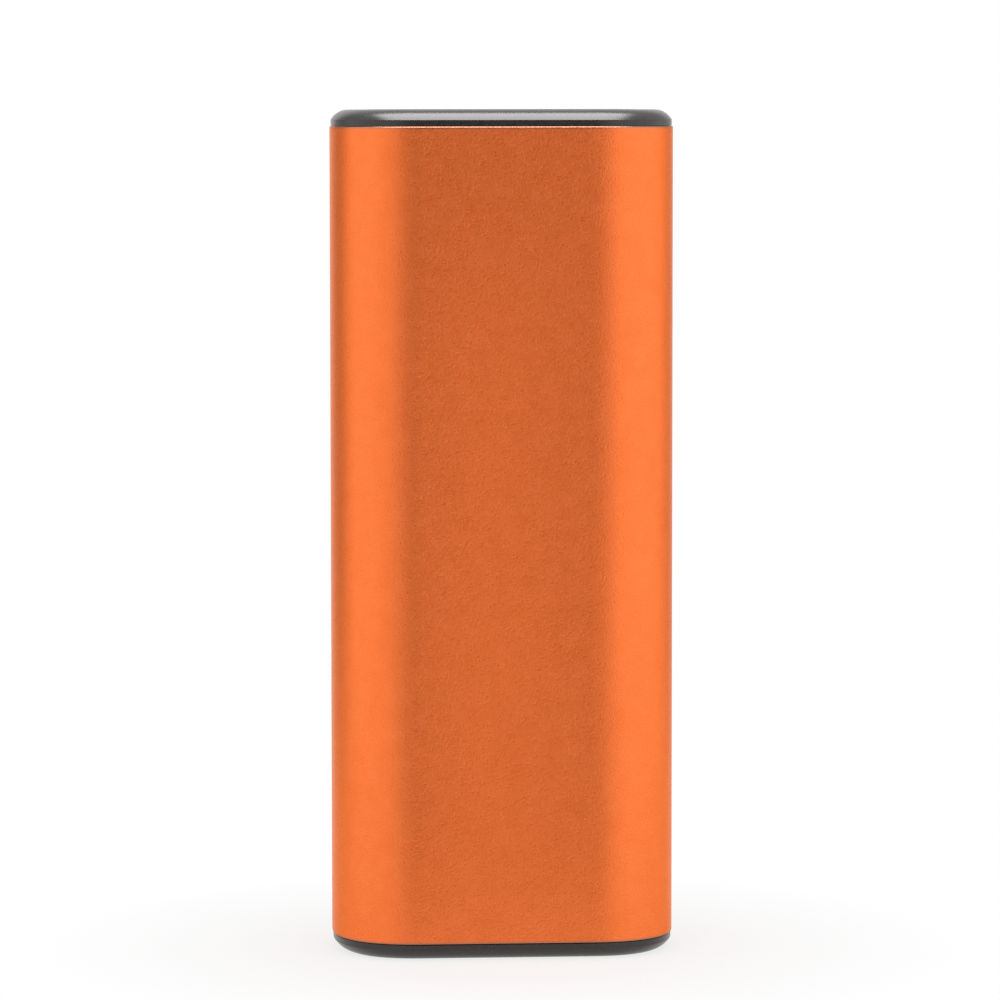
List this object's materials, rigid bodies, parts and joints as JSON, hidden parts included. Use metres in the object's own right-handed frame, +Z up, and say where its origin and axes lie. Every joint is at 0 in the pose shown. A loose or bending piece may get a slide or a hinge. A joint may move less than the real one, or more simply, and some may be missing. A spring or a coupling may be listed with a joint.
{
  "type": "rechargeable hand warmer",
  "caption": "Slim upright hand warmer and power bank: flat-oval anodised tube, black end caps, recessed power button and charge lights on top, ports underneath.",
  "frame": {"origin": "centre of the bottom cap's end face, which the warmer stands on", "axes": "+Z up the tube to the power button; -Y out of the rear face, which the picture shows; +X to the right seen from the rear"},
  "size_m": [0.043, 0.025, 0.1056],
  "materials": {
    "anodised_orange": "bead-blasted, anodised, satin",
    "black_plastic": "moulded, satin",
    "gloss_black": "gloss",
    "button_grey": "moulded, satin",
    "zinc_steel": "plated",
    "nickel": "nickel-plated, bright",
    "frame_plastic": "moulded",
    "cell_wrap": "heat-shrunk film",
    "insulator_paper": "plain",
    "polyimide_film": "amber film",
    "copper_track": "etched foil",
    "foam": "open-cell foam",
    "board_green": "solder mask",
    "chip_black": "moulded epoxy",
    "ferrite": "pressed ferrite",
    "capacitor_can": "drawn can",
    "socket_white": "moulded",
    "clear_guide": "clear moulded plastic",
    "led_lens": "clear over phosphor",
    "contact_gold": "gold flash",
    "thermistor_bead": "dipped epoxy",
    "lead_red": "silicone insulation",
    "lead_black": "silicone insulation",
    "lead_yellow": "silicone insulation",
    "cable_grey": "bundled leads in a sleeve"
  },
  "bodies": {
    "housing": {"battery_lead_negative": "lead_black", "battery_lead_positive": "lead_red", "battery_socket": "socket_white", "board_screw_1": "zinc_steel", "board_screw_2": "zinc_steel", "boost_inductor": "ferrite", "bottom_cap": "black_plastic", "bottom_cap_screw_1": "zinc_steel", "bottom_cap_screw_2": "zinc_steel", "bottom_plate": "gloss_black", "cell_left_can": "zinc_steel", "cell_left_insulator": "insulator_paper", "cell_left_terminal": "zinc_steel", "cell_left_wrap": "cell_wrap", "cell_right_can": "zinc_steel", "cell_right_insulator": "insulator_paper", "cell_right_terminal": "zinc_steel", "cell_right_wrap": "cell_wrap", "charge_controller": "chip_black", "foam_pad_front": "foam", "foam_pad_rear": "foam", "frame_front": "frame_plastic", "frame_rear": "frame_plastic", "heater_film_front": "polyimide_film", "heater_film_rear": "polyimide_film", "heater_lead_front": "lead_yellow", "heater_lead_rear": "lead_yellow", "heater_track_front": "copper_track", "heater_track_rear": "copper_track", "light_guide": "clear_guide", "main_board": "board_green", "micro_usb_shell": "nickel", "micro_usb_tongue": "chip_black", "nickel_strip_negative": "nickel", "nickel_strip_positive": "nickel", "outer_sleeve": "anodised_orange", "output_capacitor_1": "capacitor_can", "output_capacitor_2": "capacitor_can", "status_led_1": "led_lens", "status_led_2": "led_lens", "status_led_3": "led_lens", "status_led_4": "led_lens", "switch_board": "board_green", "switch_cable": "cable_grey", "tact_switch_body": "chip_black", "thermistor_front": "thermistor_bead", "thermistor_rear": "thermistor_bead", "top_cap": "black_plastic", "top_cap_screw_1": "zinc_steel", "top_cap_screw_2": "zinc_steel", "top_plate": "gloss_black", "usb_a_contact_1": "contact_gold", "usb_a_contact_2": "contact_gold", "usb_a_contact_3": "contact_gold", "usb_a_contact_4": "contact_gold", "usb_a_shell": "nickel", "usb_a_tongue": "socket_white"},
    "button": {"power_button": "button_grey", "tact_switch_plunger": "socket_white"}
  },
  "joints": [
    {"name": "power_button_press", "type": "slide", "parent": "housing", "child": "button", "axis": [0, 0, 1], "range_m": [-0.0003, 0], "stiffness_N_per_m": 5000}
  ]
}
